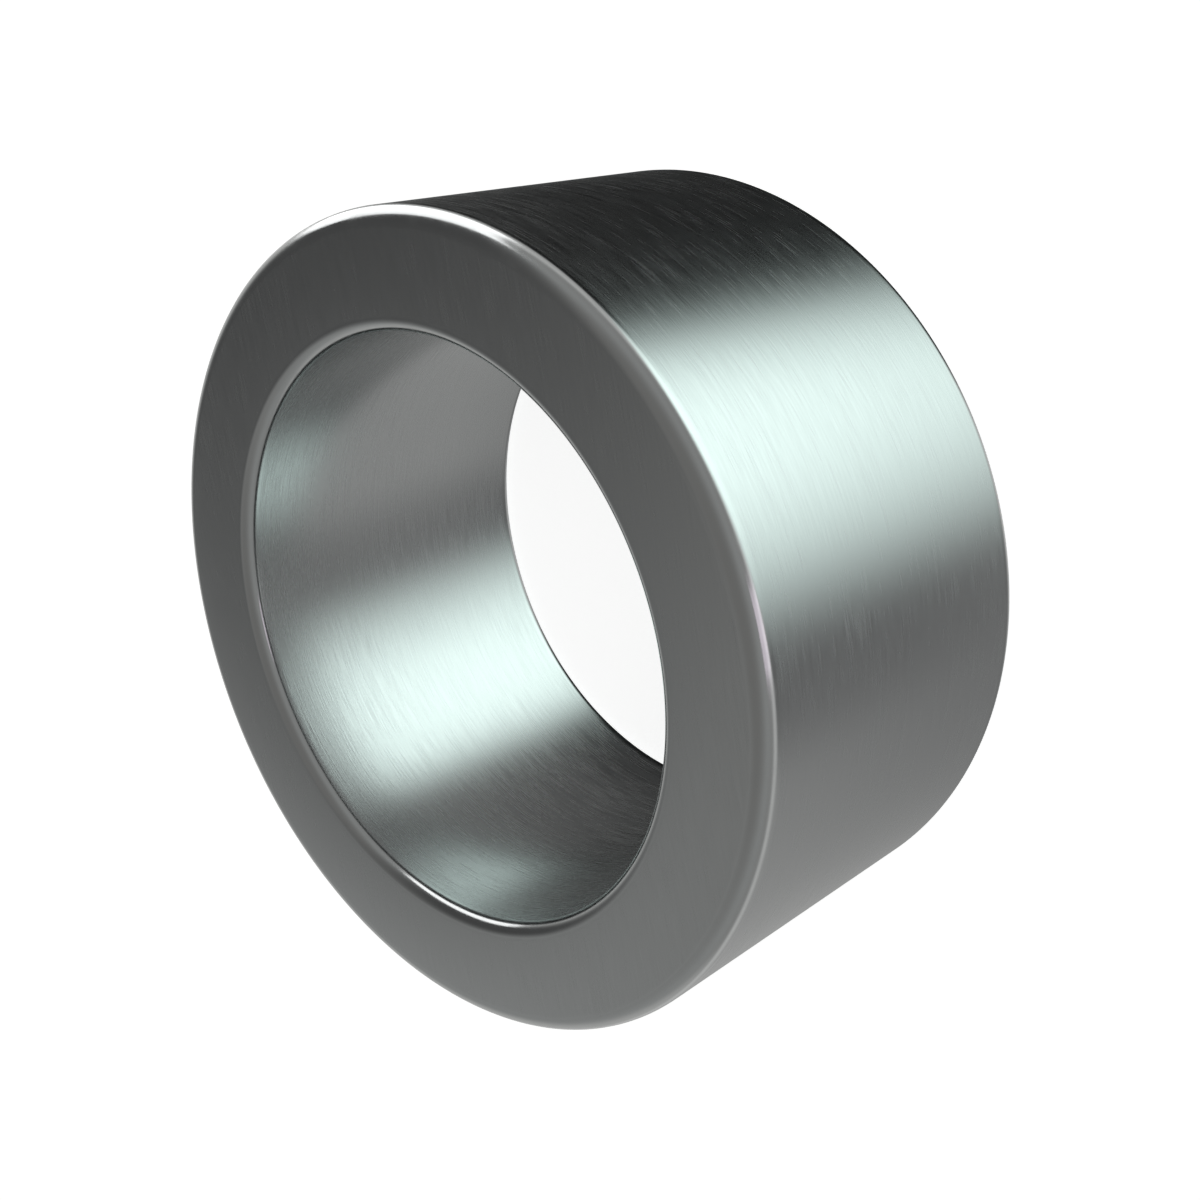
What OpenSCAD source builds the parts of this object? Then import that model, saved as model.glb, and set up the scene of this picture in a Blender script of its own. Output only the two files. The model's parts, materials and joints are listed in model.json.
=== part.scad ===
// Spacer sleeve: one short turned ring with a plain through bore, flat ends and rounded edges.
// It stands on one end face. The origin is the centre of that face, and +Z runs along the bore.

/* [Sleeve] */
// Outside diameter of the sleeve
outer_d = 25; // [24:0.5:32]
// Diameter of the bore that runs from end to end
bore_d = 18; // [14:0.5:20]
// Length of the sleeve from one end face to the other
sleeve_l = 12; // [6:0.5:40]

/* [Edges] */
// Radius of the round between the outer wall and each end face
outer_round_r = 0.5; // [0.2:0.1:1]
// Radius of the round between the bore and each end face
bore_round_r = 0.4; // [0.2:0.1:0.8]

/* [Hidden] */
// Satin steel grey of the bare metal
steel_grey = [0.46, 0.47, 0.47];
// Segments of a full circle
$fn = 256;
// How far a cutter reaches past the corner that it cuts
overreach = 0.1;
outer_r = outer_d / 2;
bore_r = bore_d / 2;
wall_t = outer_r - bore_r;

// What a round of radius r takes off a corner at the origin, with the metal towards +X and +Y
module corner_waste(r) {
    difference() {
        translate([-overreach, -overreach]) square(r + overreach);
        translate([r, r]) circle(r);
    }
}

// Its child twice: as drawn at the lower end, and mirrored at the upper end
module at_both_ends() {
    children();
    translate([0, sleeve_l]) mirror([0, 1]) children();
}

// Half section of the wall, with the radius along X and the bore's direction along Y
module wall_section() {
    difference() {
        translate([bore_r, 0]) square([wall_t, sleeve_l]);
        at_both_ends() {
            translate([bore_r, 0]) corner_waste(bore_round_r);
            translate([outer_r, 0]) mirror([1, 0]) corner_waste(outer_round_r);
        }
    }
}

// The whole sleeve, turned from bar or tube in one piece
module sleeve() {
    color(steel_grey)
        rotate_extrude()
            wall_section();
}

sleeve();
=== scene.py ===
"""Looks of the spacer sleeve: its satin steel, the pale studio round it and the camera.

The sleeve stands on its lower end face with its bore along +Z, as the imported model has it.
Lengths are in metres. The sleeve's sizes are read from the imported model, apart from its outer rounds.
"""

import json
import logging
import math
from abc import ABC, abstractmethod
from collections.abc import Callable
from dataclasses import dataclass
from enum import Enum
from typing import ClassVar

import bpy
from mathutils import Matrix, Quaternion, Vector


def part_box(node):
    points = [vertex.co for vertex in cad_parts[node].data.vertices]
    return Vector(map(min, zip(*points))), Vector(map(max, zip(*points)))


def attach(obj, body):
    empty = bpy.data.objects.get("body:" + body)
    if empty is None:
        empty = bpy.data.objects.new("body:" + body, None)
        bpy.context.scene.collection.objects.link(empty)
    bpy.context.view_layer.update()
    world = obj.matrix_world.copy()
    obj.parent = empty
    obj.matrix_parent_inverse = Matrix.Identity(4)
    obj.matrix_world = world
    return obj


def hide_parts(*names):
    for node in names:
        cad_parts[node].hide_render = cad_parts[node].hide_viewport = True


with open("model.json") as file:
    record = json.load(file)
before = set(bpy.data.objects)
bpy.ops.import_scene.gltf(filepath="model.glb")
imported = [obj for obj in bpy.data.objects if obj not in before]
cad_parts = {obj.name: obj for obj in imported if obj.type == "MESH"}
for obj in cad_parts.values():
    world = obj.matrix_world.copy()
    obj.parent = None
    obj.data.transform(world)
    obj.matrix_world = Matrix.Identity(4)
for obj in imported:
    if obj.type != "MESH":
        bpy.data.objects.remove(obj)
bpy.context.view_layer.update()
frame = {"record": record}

LOG = logging.getLogger("spacer_sleeve")

MM = 0.001
MM_PER_METRE = 1000.0
FULL_TURN = 2.0 * math.pi
QUARTER_TURN = math.pi / 2.0
ORIGIN = (0.0, 0.0, 0.0)
UPWARD = (0.0, 0.0, 1.0)
OPAQUE = 1.0

Socket = bpy.types.NodeSocket
Triple = tuple[float, float, float]
PlaceTest = Callable[[Vector], bool]


class Surface(Enum):
    """The sleeve's kinds of surface, each numbered as its material slot."""

    OUTER = 0
    BORE = 1
    END = 2
    EDGE = 3


class MixKind(Enum):
    """What a Mix node mixes, with the numbers of its two value sockets and its result socket."""

    NUMBERS = ("FLOAT", 2, 3, 0)
    COLOURS = ("RGBA", 6, 7, 2)


class SocketKind(Enum):
    """The kinds of socket that the node groups have, by Blender's names."""

    NUMBER = "NodeSocketFloat"
    VECTOR = "NodeSocketVector"


def direction(azimuth: float, elevation: float) -> Vector:
    """Give the unit direction at an azimuth and an elevation.

    Args:
        azimuth: Degrees from +X towards +Y.
        elevation: Degrees above the floor.

    Returns:
        The direction, of length 1.
    """
    turn = math.radians(azimuth)
    rise = math.radians(elevation)
    level = math.cos(rise)
    return Vector((level * math.cos(turn), level * math.sin(turn), math.sin(rise)))


def turn_along(way: Vector) -> Quaternion:
    """Give the turn that points a lamp or a camera along a direction, with its top upward."""
    return way.to_track_quat("-Z", "Y")


def grey(level: float) -> Triple:
    """Give the neutral grey of a level, where 1 is white."""
    return (level, level, level)


def add_object(name: str, data: bpy.types.ID) -> bpy.types.Object:
    """Make an object for a lamp or a camera and put it in the scene.

    Args:
        name: The object's name.
        data: The lamp or the camera.

    Returns:
        The object.
    """
    thing = bpy.data.objects.new(name, data)
    bpy.context.scene.collection.objects.link(thing)
    return thing


def deselect_everything() -> None:
    """Leave nothing selected, so that the next operator acts on new geometry alone."""
    bpy.ops.object.select_all(action="DESELECT")


def select_vertices(piece: bpy.types.Object, wanted: PlaceTest) -> None:
    """Select the vertices of a piece under edit that answer a question.

    Args:
        piece: The mesh object under edit.
        wanted: A function that takes a vertex's place and says whether it is wanted.
    """
    bpy.ops.mesh.select_all(action="DESELECT")
    bpy.ops.mesh.select_mode(type="VERT")
    bpy.ops.object.mode_set(mode="OBJECT")
    for vertex in piece.data.vertices:
        vertex.select = wanted(vertex.co)
    bpy.ops.object.mode_set(mode="EDIT")


class Graph:
    """A node tree with short calls for adding nodes and joining sockets."""

    def __init__(self, tree: bpy.types.NodeTree) -> None:
        """Take over the tree of a material, a world or a node group, and empty it."""
        self.tree = tree
        tree.nodes.clear()

    def add(self, kind: str, label: str, **settings: object) -> bpy.types.Node:
        """Add one node.

        Args:
            kind: The node's Blender type name.
            label: What the node is for, in plain words.
            **settings: Properties of the node and their values.

        Returns:
            The new node.
        """
        node = self.tree.nodes.new(kind)
        node.label = label
        for name, value in settings.items():
            setattr(node, name, value)
        return node

    def plug(self, socket: Socket, value: object) -> None:
        """Fill one input socket.

        Args:
            socket: The input socket.
            value: An output socket to link, or a plain value. A colour is given as three numbers.
        """
        if isinstance(value, Socket):
            self.tree.links.new(value, socket)
        elif socket.type == "RGBA":
            socket.default_value = (*value, OPAQUE)
        else:
            socket.default_value = value

    def feed(self, node: bpy.types.Node, **values: object) -> None:
        """Fill a node's input sockets by name.

        Args:
            node: The node whose inputs are filled.
            **values: Input names, with underscores for spaces, and what each gets.
        """
        for name, value in values.items():
            self.plug(node.inputs[name.replace("_", " ")], value)

    def maths(self, label: str, operation: str, *numbers: float | Socket, clamp: bool = False) -> Socket:
        """Work out one number from one or two others.

        Args:
            label: What the number is.
            operation: Blender's name for the sum.
            *numbers: The numbers or sockets that it is worked out from.
            clamp: Whether the result is kept between 0 and 1.

        Returns:
            The result's socket.
        """
        node = self.add("ShaderNodeMath", label, operation=operation, use_clamp=clamp)
        for socket, number in zip(node.inputs, numbers):
            self.plug(socket, number)
        return node.outputs["Value"]

    def vector(
        self, label: str, operation: str, *parts: Triple | Socket, result: str = "Vector"
    ) -> Socket:
        """Work out a vector or a number from one or two vectors.

        Args:
            label: What the result is.
            operation: Blender's name for the sum.
            *parts: The vectors or sockets that it is worked out from.
            result: Vector for a vector, or Value for a number.

        Returns:
            The result's socket.
        """
        node = self.add("ShaderNodeVectorMath", label, operation=operation)
        for socket, part in zip(node.inputs, parts):
            self.plug(socket, part)
        return node.outputs[result]

    def axis(self, label: str, vector: Socket, letter: str) -> Socket:
        """Take one of a vector's three parts.

        Args:
            label: What the part is.
            vector: The vector's socket.
            letter: X, Y or Z.

        Returns:
            The part's socket.
        """
        node = self.add("ShaderNodeSeparateXYZ", label)
        self.feed(node, Vector=vector)
        return node.outputs[letter]

    def mix(
        self, label: str, kind: MixKind, factor: float | Socket, first: object, second: object
    ) -> Socket:
        """Mix two numbers or two colours.

        Args:
            label: What the mixed number or colour is.
            kind: Whether numbers or colours are mixed.
            factor: How much of the second there is, from 0 to 1.
            first: The first value or socket.
            second: The second value or socket.

        Returns:
            The result's socket.
        """
        data_type, first_at, second_at, result_at = kind.value
        node = self.add("ShaderNodeMix", label, data_type=data_type)
        self.feed(node, Factor=factor)
        self.plug(node.inputs[first_at], first)
        self.plug(node.inputs[second_at], second)
        return node.outputs[result_at]

    def remap(
        self,
        label: str,
        value: Socket,
        new: tuple[float, float],
        old: tuple[float | Socket, float | Socket] = (0.0, 1.0),
        curve: str = "LINEAR",
    ) -> Socket:
        """Carry a number over from one range to another, and keep it inside.

        Args:
            label: What the result is.
            value: The number's socket.
            new: What the two ends of the old range become.
            old: The two ends of the old range.
            curve: Blender's name for the way between the ends.

        Returns:
            The result's socket.
        """
        node = self.add("ShaderNodeMapRange", label, interpolation_type=curve)
        self.feed(node, Value=value, From_Min=old[0], From_Max=old[1], To_Min=new[0], To_Max=new[1])
        return node.outputs["Result"]

    def noise(
        self, label: str, place: Socket, scale: float, detail: float, roughness: float = 0.5
    ) -> Socket:
        """Add noise that changes from place to place.

        Args:
            label: What the noise is for.
            place: The place.
            scale: How often the noise changes in a unit of the place.
            detail: How many finer octaves the noise has.
            roughness: How strongly the finer octaves show.

        Returns:
            The noise's socket, with values from 0 to 1.
        """
        node = self.add("ShaderNodeTexNoise", label)
        self.feed(node, Vector=place, Scale=scale, Detail=detail, Roughness=roughness)
        return node.outputs["Fac"]


@dataclass
class TurnedSleeve:
    """The sleeve, as one turned ring whose four edges are rounded.

    Attributes:
        outer_r: Radius of the outer wall.
        bore_r: Radius of the bore.
        length: Length from one end face to the other.
        bore_round: Radius of the round along each edge of the bore.
        outer_round: Radius of the round along each outer edge.
        round_steps: Facets across one round.
        wall_cuts: Cuts along each wall, which keep its facets from growing too long.
        turn_steps: Facets round the whole ring.
    """

    outer_r: float
    bore_r: float
    length: float
    bore_round: float
    outer_round: float = 0.5 * MM
    round_steps: int = 12
    wall_cuts: int = 3
    turn_steps: int = 384

    NAME: ClassVar[str] = "turned_sleeve"
    # Blender's bevel profile for a true arc
    ARC_PROFILE: ClassVar[float] = 0.5
    # How far a vertex of the section may be from a wall's radius and still count as on it
    ON_WALL: ClassVar[float] = 0.01 * MM
    # Vertices nearer to each other than this become one
    MERGE_WITHIN: ClassVar[float] = 0.001 * MM
    # How far the rise of a normal may be from 0 or 1 and still count as level or upright
    RISE_SLACK: ClassVar[float] = 0.0001
    # Weight of the smooth shading at which large faces keep their own normals
    LARGE_FACES_FIRST: ClassVar[int] = 100

    @classmethod
    def from_frame(cls) -> "TurnedSleeve":
        """Read the sleeve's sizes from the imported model.

        Returns:
            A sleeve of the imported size.
        """
        low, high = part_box("sleeve")
        bore = next(mount for mount in frame["record"]["mounts"] if mount["name"] == "bore")
        length = high[2] - low[2]
        straight_bore = bore["dims"]["length_mm"] * MM
        return cls(
            outer_r=(high[0] - low[0]) / 2.0,
            bore_r=bore["dims"]["r_mm"] * MM,
            length=length,
            bore_round=(length - straight_bore) / 2.0,
        )

    def build(self, finishes: dict[Surface, bpy.types.Material]) -> bpy.types.Object:
        """Model the ring and dress it.

        Args:
            finishes: The material for each kind of surface.

        Returns:
            The finished piece.
        """
        piece = self._half_section()
        self._round_corners(piece)
        self._cut_walls(piece)
        self._turn()
        self._dress(piece, finishes)
        self._shade(piece)
        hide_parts("sleeve")
        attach(piece, "root")
        return piece

    def _half_section(self) -> bpy.types.Object:
        """Draw the wall's half section as a plane that stands on the X axis.

        Returns:
            The plane under edit, with its place and size in its mesh.
        """
        deselect_everything()
        wall = self.outer_r - self.bore_r
        middle = (self.bore_r + wall / 2.0, 0.0, self.length / 2.0)
        upright = (QUARTER_TURN, 0.0, 0.0)
        bpy.ops.mesh.primitive_plane_add(size=wall, location=middle, rotation=upright)
        piece = bpy.context.active_object
        piece.name = self.NAME
        piece.data.name = self.NAME
        bpy.ops.object.transform_apply(location=True, rotation=True, scale=True)
        bpy.ops.object.mode_set(mode="EDIT")
        bpy.ops.transform.resize(value=(1.0, 1.0, self.length / wall), center_override=middle)
        return piece

    def _round_corners(self, piece: bpy.types.Object) -> None:
        """Round the section's corners.

        Args:
            piece: The section under edit.
        """
        middle_r = (self.outer_r + self.bore_r) / 2.0
        rounds = (
            (self.outer_round, lambda place: place.x > middle_r),
            (self.bore_round, lambda place: place.x < middle_r),
        )
        for radius, wanted in rounds:
            select_vertices(piece, wanted)
            bpy.ops.mesh.bevel(
                offset=radius,
                segments=self.round_steps,
                profile=self.ARC_PROFILE,
                affect="VERTICES",
                clamp_overlap=False,
            )

    def _cut_walls(self, piece: bpy.types.Object) -> None:
        """Keep the section's outline alone, and cut its two walls.

        Args:
            piece: The section under edit.
        """
        bpy.ops.mesh.select_all(action="SELECT")
        bpy.ops.mesh.delete(type="ONLY_FACE")
        for wall_r in (self.outer_r, self.bore_r):
            select_vertices(piece, lambda place, at=wall_r: abs(place.x - at) < self.ON_WALL)
            bpy.ops.mesh.subdivide(number_cuts=self.wall_cuts)

    def _turn(self) -> None:
        """Spin the outline under edit into the ring and close its seam."""
        bpy.ops.mesh.select_all(action="SELECT")
        bpy.ops.mesh.spin(steps=self.turn_steps, angle=FULL_TURN, center=ORIGIN, axis=UPWARD)
        bpy.ops.mesh.select_all(action="SELECT")
        bpy.ops.mesh.remove_doubles(threshold=self.MERGE_WITHIN)
        bpy.ops.mesh.normals_make_consistent(inside=False)
        bpy.ops.object.mode_set(mode="OBJECT")

    def _dress(self, piece: bpy.types.Object, finishes: dict[Surface, bpy.types.Material]) -> None:
        """Give each face the finish of its kind of surface.

        Args:
            piece: The ring.
            finishes: The material for each kind of surface.
        """
        for surface in Surface:
            piece.data.materials.append(finishes[surface])
        for face in piece.data.polygons:
            face.material_index = self._surface_of(face).value

    def _surface_of(self, face: bpy.types.MeshPolygon) -> Surface:
        """Tell a face's kind of surface from the way it looks.

        Args:
            face: The face.

        Returns:
            The kind of surface.
        """
        rise = abs(face.normal.z)
        if rise > 1.0 - self.RISE_SLACK:
            return Surface.END
        if rise > self.RISE_SLACK:
            return Surface.EDGE
        looks_outward = face.normal.dot(face.center) > 0.0
        return Surface.OUTER if looks_outward else Surface.BORE

    def _shade(self, piece: bpy.types.Object) -> None:
        """Shade the ring smoothly, with the flat faces and straight walls kept true.

        Args:
            piece: The ring.
        """
        deselect_everything()
        piece.select_set(True)
        bpy.context.view_layer.objects.active = piece
        bpy.ops.object.shade_smooth()
        bpy.ops.object.modifier_add(type="WEIGHTED_NORMAL")
        weighting = piece.modifiers[-1]
        weighting.mode = "FACE_AREA"
        weighting.weight = self.LARGE_FACES_FIRST
        bpy.ops.object.modifier_apply(modifier=weighting.name)


class SharedEffect(ABC):
    """An effect that more than one finish uses, kept as a node group."""

    NAME: ClassVar[str]
    INPUTS: ClassVar[dict[str, SocketKind]]
    OUTPUTS: ClassVar[dict[str, SocketKind]]

    def group(self) -> bpy.types.NodeTree:
        """Build the group once and give it out again afterwards.

        Returns:
            The group, with the named inputs and outputs.
        """
        known = bpy.data.node_groups.get(self.NAME)
        if known is not None:
            return known
        tree = bpy.data.node_groups.new(self.NAME, "ShaderNodeTree")
        for side, sockets in (("INPUT", self.INPUTS), ("OUTPUT", self.OUTPUTS)):
            for name, kind in sockets.items():
                tree.interface.new_socket(name=name, in_out=side, socket_type=kind.value)
        graph = Graph(tree)
        given = graph.add("NodeGroupInput", "Given")
        result = graph.add("NodeGroupOutput", "Result")
        outcome = self._work_out(graph, {name: given.outputs[name] for name in self.INPUTS})
        graph.feed(result, **outcome)
        return tree

    @abstractmethod
    def _work_out(self, graph: Graph, given: dict[str, Socket]) -> dict[str, Socket]:
        """Add the group's nodes, and give the socket of each output by name."""


@dataclass(frozen=True)
class BrushedGrain(SharedEffect):
    """The fine streaks of the brushed metal, which give a height and a tone at each place.

    Attributes:
        fine_detail: Finer octaves of the fine streaks.
        coarse_detail: Finer octaves of the coarse streaks.
        sharpness: How strongly the finer octaves show.
        coarse_share: Share of the coarse streaks in the height.
        patch_scale: How often patches of stronger streaks change in a millimetre.
        patch_detail: Finer octaves of the patches.
        patch_span: The patches' noise where the streaks are weakest and strongest.
        tone_reach: Span of heights that the tone covers where they are weakest and strongest.
        middle: Middle of the heights.
    """

    fine_detail: float = 2.0
    coarse_detail: float = 1.0
    sharpness: float = 0.6
    coarse_share: float = 0.22
    patch_scale: float = 0.45
    patch_detail: float = 1.0
    patch_span: tuple[float, float] = (0.3, 0.7)
    tone_reach: tuple[float, float] = (0.8, 0.5)
    middle: float = 0.5

    NAME: ClassVar[str] = "brushed_grain"
    INPUTS: ClassVar[dict[str, SocketKind]] = {
        "Place": SocketKind.VECTOR,
        "Fine": SocketKind.VECTOR,
        "Coarse": SocketKind.VECTOR,
    }
    OUTPUTS: ClassVar[dict[str, SocketKind]] = {"Height": SocketKind.NUMBER, "Tone": SocketKind.NUMBER}

    def _work_out(self, graph: Graph, given: dict[str, Socket]) -> dict[str, Socket]:
        """Turn a place into the height and tone of its streaks.

        Args:
            graph: The group's node tree.
            given: The place, and how often the fine and the coarse streaks change.

        Returns:
            The height and the tone, both from 0 to 1.
        """
        place = given["Place"]
        fine = self._streaks(graph, "Fine streaks", place, given["Fine"], self.fine_detail)
        coarse = self._streaks(graph, "Coarse streaks", place, given["Coarse"], self.coarse_detail)
        height = graph.mix("Streaks together", MixKind.NUMBERS, self.coarse_share, fine, coarse)
        patches = graph.noise("Patches of stronger streaks", place, self.patch_scale, self.patch_detail)
        reach = graph.remap("Reach of the tone", patches, self.tone_reach, self.patch_span)
        half_reach = graph.maths("Half reach", "MULTIPLY", reach, 0.5)
        lowest = graph.maths("Lowest height of the tone", "SUBTRACT", self.middle, half_reach)
        raised = graph.maths("Height over the lowest", "SUBTRACT", height, lowest)
        tone = graph.maths("Tone from height", "DIVIDE", raised, reach, clamp=True)
        return {"Height": height, "Tone": tone}

    def _streaks(
        self, graph: Graph, label: str, place: Socket, stretch: Socket, detail: float
    ) -> Socket:
        """Add one layer of stretched noise.

        Args:
            graph: The group's node tree.
            label: What the layer is.
            place: The place on the metal.
            stretch: How often the noise changes in a millimetre, along each axis.
            detail: How many finer octaves the noise has.

        Returns:
            The layer's value, from 0 to 1.
        """
        scaled = graph.vector(f"{label}: stretch", "MULTIPLY", place, stretch)
        return graph.noise(label, scaled, scale=1.0, detail=detail, roughness=self.sharpness)


@dataclass(frozen=True)
class EdgeWear(SharedEffect):
    """How far handling has polished the metal beside an edge, and the clouds that it leaves.

    Attributes:
        ragged_scale: How often the polish's ragged edge changes in a millimetre.
        cloud_scale: How often the clouds change in a millimetre.
        detail: Finer octaves of both.
    """

    ragged_scale: float = 1.7
    cloud_scale: float = 0.22
    detail: float = 2.0

    NAME: ClassVar[str] = "edge_wear"
    INPUTS: ClassVar[dict[str, SocketKind]] = {
        "Place": SocketKind.VECTOR,
        "Distance": SocketKind.NUMBER,
        "Reach": SocketKind.NUMBER,
    }
    OUTPUTS: ClassVar[dict[str, SocketKind]] = {"Polish": SocketKind.NUMBER, "Cloud": SocketKind.NUMBER}

    def _work_out(self, graph: Graph, given: dict[str, Socket]) -> dict[str, Socket]:
        """Turn a place and its distance from the edge into its polish and cloud.

        Args:
            graph: The group's node tree.
            given: The place, its distance from the edge, and how far the polish reaches.

        Returns:
            The polish and the cloud, both from 0 to 1.
        """
        place = given["Place"]
        ragged = graph.noise("Ragged edge of the polish", place, self.ragged_scale, self.detail)
        cloud = graph.noise("Clouds of handling", place, self.cloud_scale, self.detail)
        reach = graph.maths("Reach at this place", "MULTIPLY", given["Reach"], ragged)
        nearness = graph.remap(
            "Nearness to the edge",
            given["Distance"],
            new=(1.0, 0.0),
            old=(0.0, reach),
            curve="SMOOTHSTEP",
        )
        return {"Polish": nearness, "Cloud": cloud}


@dataclass(frozen=True)
class Steel(ABC):
    """One finish of the sleeve's satin steel.

    Attributes:
        name: The material's name.
        fine: How often the fine streaks change in a millimetre, along X, Y and Z.
        coarse: How often the coarse streaks change in a millimetre, along X, Y and Z.
        depth: Depth of the streaks.
        dark: Colour of the metal in the streaks.
        light: Colour of the metal between the streaks.
        roughness: Mean roughness of the metal.
        swing: How far the streaks raise or lower the roughness.
        cloud_swing: How far the clouds of handling raise or lower the roughness.
        wear_reach: How far the edges' polish reaches at most, in millimetres.
    """

    name: str
    fine: Triple
    coarse: Triple
    depth: float
    dark: Triple = (0.45, 0.46, 0.46)
    light: Triple = (0.47, 0.48, 0.48)
    roughness: float = 0.24
    swing: float = 0.09
    cloud_swing: float = 0.02
    wear_reach: float = 0.25

    def make(self, sleeve: TurnedSleeve) -> bpy.types.Material:
        """Build the material.

        Args:
            sleeve: The sleeve that wears the finish.

        Returns:
            The finished material.
        """
        material = bpy.data.materials.new(self.name)
        material.use_nodes = True
        graph = Graph(material.node_tree)
        output = graph.add("ShaderNodeOutputMaterial", "Output")
        shader = graph.add("ShaderNodeBsdfPrincipled", "Steel")
        in_mm = graph.add("ShaderNodeVectorMath", "Place in millimetres", operation="SCALE")
        places = graph.add("ShaderNodeTexCoord", "Place on the sleeve")
        graph.feed(in_mm, Vector=places.outputs["Object"], Scale=MM_PER_METRE)
        place = in_mm.outputs["Vector"]

        grain = graph.add("ShaderNodeGroup", "Brushed grain", node_tree=BrushedGrain().group())
        graph.feed(grain, Place=place, Fine=self.fine, Coarse=self.coarse)
        wear = graph.add("ShaderNodeGroup", "Edge wear", node_tree=EdgeWear().group())
        distance = self._edge_distance(graph, place, sleeve)
        graph.feed(wear, Place=place, Distance=distance, Reach=self.wear_reach)

        graph.feed(
            shader,
            Base_Color=self._colour(graph, grain, wear),
            Metallic=1.0,
            Roughness=self._gloss(graph, grain, wear),
            Normal=self._relief(graph, grain, wear),
        )
        graph.feed(output, Surface=shader.outputs["BSDF"])
        return material

    def _colour(self, graph: Graph, grain: bpy.types.Node, wear: bpy.types.Node) -> Socket:
        """Colour the streaks, which the polish leaves light.

        Args:
            graph: The material's node tree.
            grain: The brushed grain's node.
            wear: The edge wear's node.

        Returns:
            The colour's socket.
        """
        tone, polish = grain.outputs["Tone"], wear.outputs["Polish"]
        streaky = graph.mix("Colour of the streaks", MixKind.COLOURS, tone, self.dark, self.light)
        return graph.mix("Colour with the wear", MixKind.COLOURS, polish, streaky, self.light)

    def _gloss(self, graph: Graph, grain: bpy.types.Node, wear: bpy.types.Node) -> Socket:
        """Make the streaks rough and smooth, with clouds, and smooth where the polish is.

        Args:
            graph: The material's node tree.
            grain: The brushed grain's node.
            wear: The edge wear's node.

        Returns:
            The roughness's socket.
        """
        roughest = self.roughness + self.swing
        smoothest = self.roughness - self.swing
        cloud_span = (-self.cloud_swing, self.cloud_swing)
        streaks = graph.remap("Roughness of the streaks", grain.outputs["Tone"], (roughest, smoothest))
        clouds = graph.remap("Clouds in the gloss", wear.outputs["Cloud"], cloud_span)
        cloudy = graph.maths("Roughness with the clouds", "ADD", streaks, clouds)
        polish = wear.outputs["Polish"]
        return graph.mix("Roughness with the wear", MixKind.NUMBERS, polish, cloudy, smoothest)

    def _relief(self, graph: Graph, grain: bpy.types.Node, wear: bpy.types.Node) -> Socket:
        """Raise the streaks a little, less so where the polish is.

        Args:
            graph: The material's node tree.
            grain: The brushed grain's node.
            wear: The edge wear's node.

        Returns:
            The socket of the surface's normal.
        """
        kept = graph.maths("Grain left by the wear", "SUBTRACT", 1.0, wear.outputs["Polish"])
        height = graph.maths("Worn height", "MULTIPLY", grain.outputs["Height"], kept)
        relief = graph.add("ShaderNodeBump", "Relief of the streaks")
        graph.feed(relief, Height=height, Distance=self.depth, Strength=1.0)
        return relief.outputs["Normal"]

    @abstractmethod
    def _edge_distance(self, graph: Graph, place: Socket, sleeve: TurnedSleeve) -> float | Socket:
        """Measure how far a place is from the nearest rounded edge, in millimetres."""

    @staticmethod
    def _to_nearer_side(graph: Graph, value: Socket, middle: float, half: float) -> Socket:
        """Measure how far a value lies inside the nearer of two sides.

        Args:
            graph: The material's node tree.
            value: The value.
            middle: The value halfway between the two sides.
            half: How far either side is from the middle.

        Returns:
            The distance.
        """
        from_middle = graph.maths("From the middle", "SUBTRACT", value, middle)
        away = graph.maths("Away from the middle", "ABSOLUTE", from_middle)
        return graph.maths("To the nearer side", "SUBTRACT", half, away)


@dataclass(frozen=True)
class WallSteel(Steel):
    """The finish of one of the walls, with streaks that run round the sleeve.

    Attributes:
        fine: How often the fine streaks change in a millimetre, along X, Y and Z.
        coarse: How often the coarse streaks change in a millimetre, along X, Y and Z.
        depth: Depth of the streaks.
        round_r: Radius of the rounds at the wall's ends.
    """

    fine: Triple = (0.8, 0.8, 17.0)
    coarse: Triple = (0.4, 0.4, 6.0)
    depth: float = 0.0022 * MM
    round_r: float = 0.5 * MM

    def _edge_distance(self, graph: Graph, place: Socket, sleeve: TurnedSleeve) -> Socket:
        """Measure how far a place on a wall is from the nearer end of the wall, in millimetres.

        Args:
            graph: The material's node tree.
            place: The place in millimetres.
            sleeve: The sleeve that wears the finish.

        Returns:
            The distance.
        """
        height = graph.axis("Height on the wall", place, "Z")
        half = sleeve.length * MM_PER_METRE / 2.0
        straight = half - self.round_r * MM_PER_METRE
        return self._to_nearer_side(graph, height, half, straight)


@dataclass(frozen=True)
class EndSteel(Steel):
    """The end faces' finish, with straight streaks."""

    def _edge_distance(self, graph: Graph, place: Socket, sleeve: TurnedSleeve) -> Socket:
        """Measure how far a place on an end face is from the nearer rim, in millimetres.

        Args:
            graph: The material's node tree.
            place: The place in millimetres.
            sleeve: The sleeve that wears the finish.

        Returns:
            The distance.
        """
        across = graph.vector("Across the end face", "MULTIPLY", place, (1.0, 1.0, 0.0))
        radius = graph.vector("Radius", "LENGTH", across, result="Value")
        inner = (sleeve.bore_r + sleeve.bore_round) * MM_PER_METRE
        outer = (sleeve.outer_r - sleeve.outer_round) * MM_PER_METRE
        middle = (inner + outer) / 2.0
        return self._to_nearer_side(graph, radius, middle, outer - middle)


@dataclass(frozen=True)
class EdgeSteel(Steel):
    """The rounded edges' finish, which is half polished all over.

    Attributes:
        depth_in_polish: How far into the polish's reach the edges lie, where 0 is all polished.
    """

    depth_in_polish: float = 0.25

    def _edge_distance(self, graph: Graph, place: Socket, sleeve: TurnedSleeve) -> float:
        """Give the same distance all over the edges, at which about half of the grain is left."""
        return self.wear_reach * self.depth_in_polish


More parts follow.
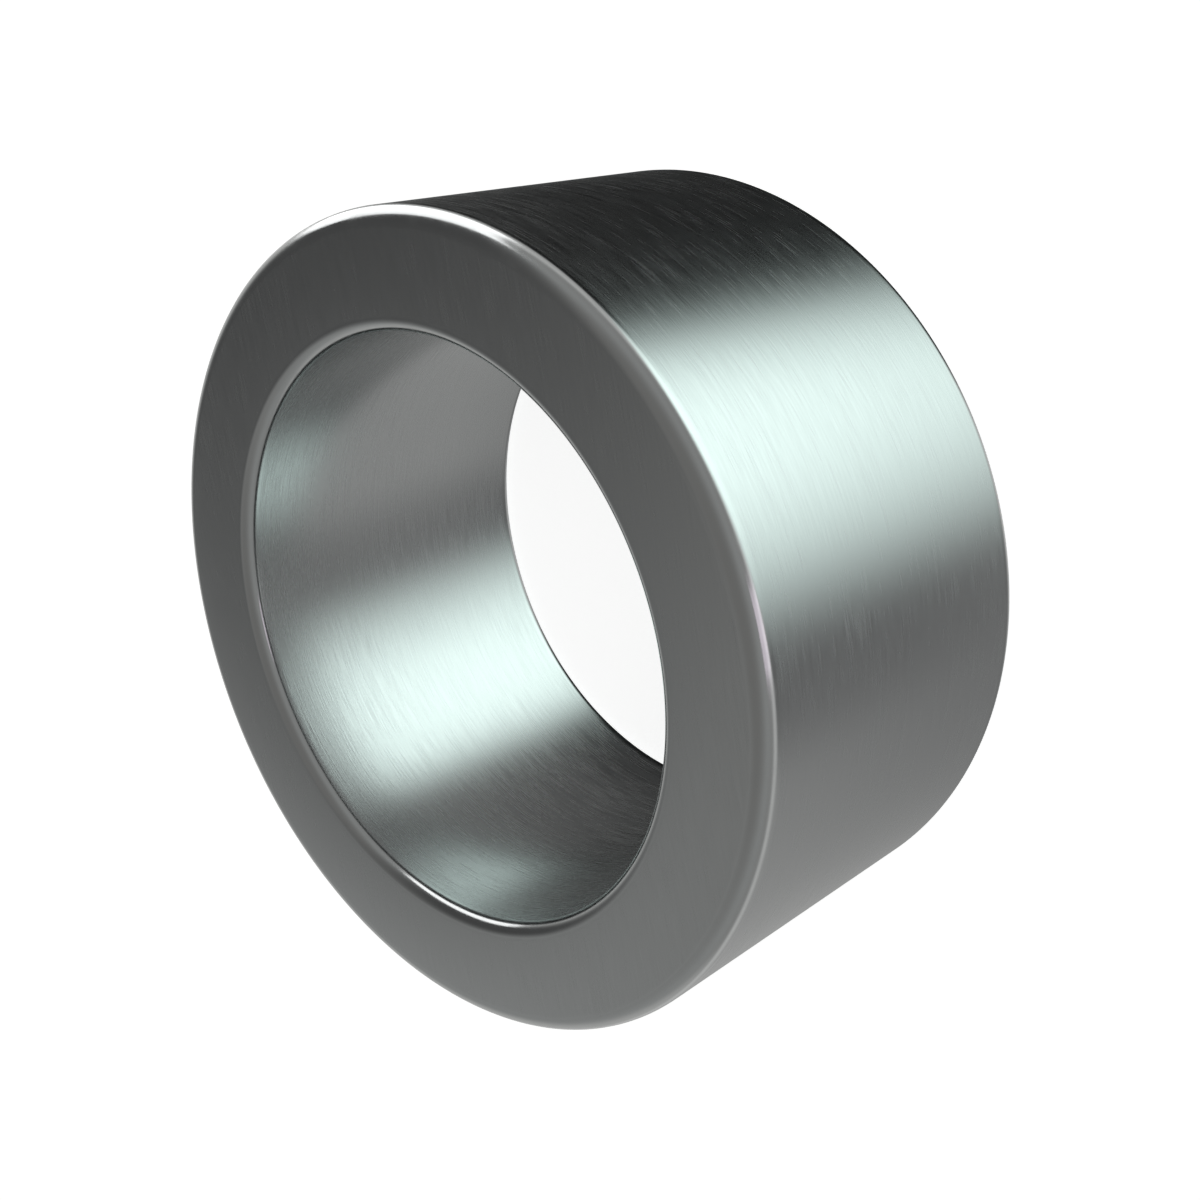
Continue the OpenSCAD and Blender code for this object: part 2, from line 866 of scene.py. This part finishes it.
def sleeve_finishes(sleeve: TurnedSleeve) -> dict[Surface, bpy.types.Material]:
    """Make the sleeve's four finishes.

    Args:
        sleeve: The sleeve that wears them.

    Returns:
        The material for each kind of surface.
    """
    finishes = {
        Surface.OUTER: WallSteel("outer_steel", round_r=sleeve.outer_round),
        Surface.BORE: WallSteel(
            "bore_steel",
            round_r=sleeve.bore_round,
            roughness=0.26,
            swing=0.075,
        ),
        Surface.END: EndSteel(
            "end_steel",
            fine=(12.0, 0.7, 1.0),
            coarse=(4.5, 0.35, 1.0),
            depth=0.003 * MM,
            dark=(0.445, 0.455, 0.455),
            light=(0.475, 0.485, 0.485),
            roughness=0.23,
        ),
        Surface.EDGE: EdgeSteel(
            "edge_steel",
            fine=(2.0, 2.0, 8.0),
            coarse=(1.0, 1.0, 3.0),
            depth=0.001 * MM,
            roughness=0.22,
        ),
    }
    return {surface: finish.make(sleeve) for surface, finish in finishes.items()}


@dataclass(frozen=True)
class SoftBox:
    """A soft box that faces the sleeve, and that the metal mirrors.

    Attributes:
        name: Plain name of the lamp.
        azimuth: Degrees round the sleeve, from +X towards +Y.
        elevation: Degrees above the floor.
        width: Width in degrees, as the sleeve sees it.
        height: Height in degrees, as the sleeve sees it.
        radiance: Brightness, where 1 is white.
        tint: Colour of the light.
        distance: Distance from the sleeve.
    """

    name: str
    azimuth: float
    elevation: float
    width: float
    height: float
    radiance: float
    tint: Triple = (1.0, 1.0, 1.0)
    distance: float = 0.30

    def place(self, target: Vector) -> bpy.types.Object:
        """Set the lamp up.

        Args:
            target: The point that the box faces.

        Returns:
            The lamp.
        """
        way = direction(self.azimuth, self.elevation)
        lamp = bpy.data.lights.new(self.name, type="AREA")
        lamp.shape = "RECTANGLE"
        lamp.size = self._span(self.width)
        lamp.size_y = self._span(self.height)
        lamp.energy = self.radiance * math.pi * lamp.size * lamp.size_y
        lamp.color = self.tint
        box = add_object(self.name, lamp)
        box.location = target + way * self.distance
        box.rotation_euler = turn_along(-way).to_euler()
        box.visible_camera = False
        return box

    def _span(self, degrees: float) -> float:
        """Give the length that looks as wide as an angle from the sleeve."""
        return 2.0 * self.distance * math.tan(math.radians(degrees) / 2.0)


@dataclass(frozen=True)
class SoftPatch:
    """A soft-edged patch of the surroundings, lighter or darker than what lies round it.

    Attributes:
        name: Plain name of the patch.
        azimuth: Degrees round the sleeve to its middle, from +X towards +Y.
        elevation: Degrees above the floor to its middle.
        half_width: Degrees from its middle to its side.
        half_height: Degrees from its middle to its top.
        softness: Width of its soft edge, as a part of its size.
        shade: Colour of the patch.
    """

    name: str
    azimuth: float
    elevation: float
    half_width: float
    half_height: float
    softness: float
    shade: Triple

    def paint(self, graph: Graph, way: Socket, under: Socket) -> Socket:
        """Paint the patch over what is there.

        Args:
            graph: The world's node tree.
            way: The direction in which the surroundings are seen.
            under: The colour under the patch.

        Returns:
            The colour with the patch painted on.
        """
        middle = direction(self.azimuth, self.elevation)
        side = direction(self.azimuth + 90.0, 0.0)
        ahead = self._along(graph, "ahead", way, middle)
        across = self._along(graph, "across", way, side)
        upward = self._along(graph, "upward", way, middle.cross(side))
        squares = self._maths(
            graph,
            "sum of squares",
            "ADD",
            self._offset_squared(graph, across, ahead, self.half_width),
            self._offset_squared(graph, upward, ahead, self.half_height),
        )
        reach = self._maths(graph, "distance from its middle", "SQRT", squares)
        edge = graph.remap(
            f"{self.name}: soft edge",
            reach,
            new=(1.0, 0.0),
            old=(1.0 - self.softness, 1.0 + self.softness),
            curve="SMOOTHSTEP",
        )
        in_front = self._maths(graph, "in front only", "GREATER_THAN", ahead, 0.0)
        mask = self._maths(graph, "mask", "MULTIPLY", edge, in_front)
        return graph.mix(self.name, MixKind.COLOURS, mask, under, self.shade)

    def _along(self, graph: Graph, label: str, way: Socket, axis: Vector) -> Socket:
        """Give the part of a direction that lies along one axis of the patch."""
        return graph.vector(f"{self.name}: {label}", "DOT_PRODUCT", way, tuple(axis), result="Value")

    def _maths(self, graph: Graph, label: str, operation: str, *numbers: float | Socket) -> Socket:
        """Work out one number, with the patch's name in its label."""
        return graph.maths(f"{self.name}: {label}", operation, *numbers)

    def _offset_squared(self, graph: Graph, offset: Socket, ahead: Socket, half: float) -> Socket:
        """Square an offset from the middle, as a part of the patch's half size.

        Args:
            graph: The world's node tree.
            offset: The part of the direction across or up the patch.
            ahead: The part of the direction towards the patch's middle.
            half: The half size in degrees.

        Returns:
            The square, which is 1 at the patch's side.
        """
        slope = self._maths(graph, "slope", "DIVIDE", offset, ahead)
        part = self._maths(graph, "part", "DIVIDE", slope, math.tan(math.radians(half)))
        return self._maths(graph, "square", "POWER", part, 2.0)


@dataclass(frozen=True)
class Surroundings:
    """The grey room round the sleeve, which the metal mirrors.

    Attributes:
        bands: Colours of the room from below to overhead, each with its elevation in degrees.
        patches: Soft patches painted over the bands, in order.
    """

    bands: tuple[tuple[float, Triple], ...]
    patches: tuple[SoftPatch, ...]

    def build(self) -> bpy.types.World:
        """Paint the room and make it the scene's world.

        Returns:
            The world.
        """
        world = bpy.data.worlds.new("studio_room")
        world.use_nodes = True
        graph = Graph(world.node_tree)
        output = graph.add("ShaderNodeOutputWorld", "Output")
        light = graph.add("ShaderNodeBackground", "Light of the room")
        way = graph.add("ShaderNodeTexCoord", "Direction").outputs["Generated"]
        colour = self._paint_bands(graph, way)
        for patch in self.patches:
            colour = patch.paint(graph, way, colour)
        graph.feed(light, Color=colour, Strength=1.0)
        graph.feed(output, Surface=light.outputs["Background"])
        bpy.context.scene.world = world
        return world

    def _paint_bands(self, graph: Graph, way: Socket) -> Socket:
        """Paint the grey bands, which blend into each other.

        Args:
            graph: The world's node tree.
            way: The direction in which the room is seen.

        Returns:
            The colour of the room without its patches.
        """
        height = graph.axis("Height in the room", way, "Z")
        rise = graph.remap("From the floor's side to overhead", height, new=(0.0, 1.0), old=(-1.0, 1.0))
        ramp = graph.add("ShaderNodeValToRGB", "Grey bands")
        graph.feed(ramp, Fac=rise)
        ramp.color_ramp.interpolation = "EASE"
        stops = ramp.color_ramp.elements
        while len(stops) > 1:
            stops.remove(stops[-1])
        for index, (elevation, shade) in enumerate(self.bands):
            position = (math.sin(math.radians(elevation)) + 1.0) / 2.0
            stop = stops[0] if index == 0 else stops.new(position)
            stop.position = position
            stop.color = (*shade, OPAQUE)
        return ramp.outputs["Color"]


@dataclass(frozen=True)
class KeyLight:
    """The large soft light that throws the sleeve's faint shadow on the floor.

    Attributes:
        azimuth: Degrees round the sleeve, from +X towards +Y.
        elevation: Degrees above the floor.
        spread: Degrees that the light is wide, as the sleeve sees it.
        strength: Brightness of the light.
    """

    azimuth: float = 14.0
    elevation: float = 50.0
    spread: float = 35.0
    strength: float = 0.35

    def place(self) -> bpy.types.Object:
        """Set the light up, out of the metal's reflections.

        Returns:
            The lamp.
        """
        lamp = bpy.data.lights.new("key_light", type="SUN")
        lamp.energy = self.strength
        lamp.angle = math.radians(self.spread)
        key = add_object("key_light", lamp)
        way = direction(self.azimuth, self.elevation)
        key.rotation_euler = turn_along(-way).to_euler()
        key.visible_glossy = False
        return key


@dataclass(frozen=True)
class RoundSweep:
    """The pale floor, which bends up into a round backdrop far from the sleeve.

    The camera alone sees it. The metal mirrors the grey room instead.

    Attributes:
        floor_r: Radius of the flat floor.
        bend_r: Radius of the bend between floor and backdrop.
        wall_h: Height of the straight backdrop above the bend.
        bend_steps: Facets across the bend.
        turn_steps: Facets round the sweep.
        sharpest: Degrees between two facets up to which they are shaded as one.
        colour: Colour of the floor and backdrop.
        glow: Light that the floor gives of itself, which keeps it pale.
    """

    floor_r: float = 0.9
    bend_r: float = 0.4
    wall_h: float = 0.4
    bend_steps: int = 12
    turn_steps: int = 96
    sharpest: float = 30.0
    colour: Triple = (0.60, 0.60, 0.60)
    glow: float = 0.80

    NAME: ClassVar[str] = "pale_floor"

    def build(self) -> bpy.types.Object:
        """Model the sweep and give it its paint.

        Returns:
            The sweep.
        """
        deselect_everything()
        bpy.ops.mesh.primitive_circle_add(
            vertices=self.turn_steps, radius=self.floor_r, fill_type="NGON", location=ORIGIN
        )
        sweep = bpy.context.active_object
        sweep.name = self.NAME
        sweep.data.name = self.NAME
        self._bend_up()
        bpy.ops.object.shade_smooth_by_angle(angle=math.radians(self.sharpest))
        sweep.data.materials.append(self._paint())
        sweep.visible_glossy = False
        sweep.visible_diffuse = False
        sweep.visible_shadow = False
        return sweep

    def _bend_up(self) -> None:
        """Draw the flat floor's rim out and up, round the bend and up the backdrop."""
        bpy.ops.object.mode_set(mode="EDIT")
        bpy.ops.mesh.select_mode(type="EDGE")
        radius, height = self.floor_r, 0.0
        for step in range(1, self.bend_steps + 1):
            angle = QUARTER_TURN * step / self.bend_steps
            new_radius = self.floor_r + self.bend_r * math.sin(angle)
            new_height = self.bend_r * (1.0 - math.cos(angle))
            self._raise_rim(new_radius / radius, new_height - height)
            radius, height = new_radius, new_height
        self._raise_rim(1.0, self.wall_h)
        bpy.ops.object.mode_set(mode="OBJECT")

    def _raise_rim(self, widening: float, rise: float) -> None:
        """Extrude the sweep's rim up by a height, and widen it by a factor."""
        bpy.ops.mesh.extrude_edges_move(TRANSFORM_OT_translate={"value": (0.0, 0.0, rise)})
        bpy.ops.transform.resize(value=(widening, widening, 1.0), center_override=ORIGIN)

    def _paint(self) -> bpy.types.Material:
        """Make the sweep's matt paint.

        Returns:
            The material.
        """
        material = bpy.data.materials.new("pale_paint")
        material.use_nodes = True
        graph = Graph(material.node_tree)
        output = graph.add("ShaderNodeOutputMaterial", "Output")
        shader = graph.add("ShaderNodeBsdfPrincipled", "Matt paint")
        graph.feed(
            shader,
            Base_Color=self.colour,
            Roughness=1.0,
            Specular_IOR_Level=0.0,
            Emission_Color=grey(1.0),
            Emission_Strength=self.glow,
        )
        graph.feed(output, Surface=shader.outputs["BSDF"])
        return material


@dataclass(frozen=True)
class Studio:
    """The plain pale studio.

    Attributes:
        sweep: The floor and backdrop.
        room: The room that the metal mirrors.
        boxes: The soft boxes.
        key: The light over the floor.
    """

    sweep: RoundSweep
    room: Surroundings
    boxes: tuple[SoftBox, ...]
    key: KeyLight

    def build(self, target: Vector) -> bpy.types.Object:
        """Build the floor, the room and the lamps.

        Args:
            target: The point that the soft boxes face.

        Returns:
            The floor.
        """
        floor = self.sweep.build()
        self.room.build()
        for box in self.boxes:
            box.place(target)
        self.key.place()
        return floor


def grey_room() -> Surroundings:
    """Describe the room that the metal mirrors.

    Returns:
        The room, with its bands from below to overhead and its patches.
    """
    return Surroundings(
        bands=(
            (-90.0, (0.75, 0.75, 0.74)),
            (-58.0, grey(0.24)),
            (-40.0, (0.46, 0.46, 0.455)),
            (-17.0, (0.75, 0.75, 0.74)),
            (0.0, (0.38, 0.38, 0.375)),
            (24.0, (0.407, 0.413, 0.409)),
            (90.0, (0.265, 0.262, 0.255)),
        ),
        patches=(
            SoftPatch("bright_skirting", 205.0, 0.0, 60.0, 20.0, 0.6, (0.60, 0.60, 0.59)),
            SoftPatch("grey_corner", -20.0, -45.0, 20.0, 15.0, 0.6, grey(0.20)),
            SoftPatch("dark_floor_side", 120.0, -60.0, 42.0, 25.0, 0.25, grey(0.01)),
            SoftPatch("dim_wall", 150.0, 35.0, 40.0, 25.0, 0.6, grey(0.10)),
            SoftPatch("mint_screen", 30.0, -42.0, 25.0, 25.0, 0.75, (1.66, 1.95, 1.87)),
            SoftPatch("mint_lamp", 42.0, -35.0, 18.0, 18.0, 0.7, (2.04, 2.40, 2.30)),
        ),
    )


def plain_studio() -> Studio:
    """Describe the whole studio.

    Returns:
        The studio.
    """
    return Studio(
        sweep=RoundSweep(),
        room=grey_room(),
        boxes=(
            SoftBox("white_box", 125.0, 0.0, 50.0, 45.0, 1.85),
            SoftBox("violet_box", -10.0, -5.0, 20.0, 35.0, 0.75, (1.0, 0.85, 1.0)),
        ),
        key=KeyLight(),
    )


@dataclass(frozen=True)
class PhotoCamera:
    """The camera, standing where the photograph was taken from.

    Attributes:
        azimuth: Degrees round the sleeve, from +X towards +Y.
        elevation: Degrees above the floor.
        roll: Degrees that the camera is turned about its own axis.
        distance: Distance from the point it looks at.
        aim: The point it looks at.
        lens: Focal length in millimetres.
        sensor: Width of the sensor in millimetres.
        shift: Sideways and upward shift of the frame, as parts of its width.
        nearest: Distance from which on things are seen.
        farthest: Distance up to which things are seen.
    """

    azimuth: float = 14.74
    elevation: float = 43.73
    roll: float = -110.83
    distance: float = 49.14 * MM
    aim: Triple = (2.317 * MM, 0.510 * MM, 6.0 * MM)
    lens: float = 47.617
    sensor: float = 36.0
    shift: tuple[float, float] = (-0.0162, -0.0255)
    nearest: float = 1.0 * MM
    farthest: float = 10.0

    def place(self) -> bpy.types.Object:
        """Set the camera up and make it the scene's own.

        Returns:
            The camera.
        """
        back = direction(self.azimuth, self.elevation)
        data = bpy.data.cameras.new("photo_camera")
        data.sensor_width = self.sensor
        data.lens = self.lens
        data.shift_x, data.shift_y = self.shift
        data.clip_start = self.nearest
        data.clip_end = self.farthest
        camera = add_object("photo_camera", data)
        camera.location = Vector(self.aim) + back * self.distance
        rolled = turn_along(-back) @ Quaternion(UPWARD, math.radians(self.roll))
        camera.rotation_euler = rolled.to_euler()
        bpy.context.scene.camera = camera
        return camera


def report(thing: bpy.types.Object) -> None:
    """Log a finished mesh object and how many faces it has."""
    LOG.info("%s: %d faces", thing.name, len(thing.data.polygons))


def main() -> None:
    """Build the camera, the sleeve and the studio in order, and report each piece."""
    logging.basicConfig(level=logging.INFO, format="%(name)s: %(message)s")
    bpy.context.scene.view_settings.view_transform = "Standard"
    PhotoCamera().place()
    sleeve = TurnedSleeve.from_frame()
    report(sleeve.build(sleeve_finishes(sleeve)))
    report(plain_studio().build(Vector((0.0, 0.0, sleeve.length / 2.0))))


if __name__ == "__main__":
    main()
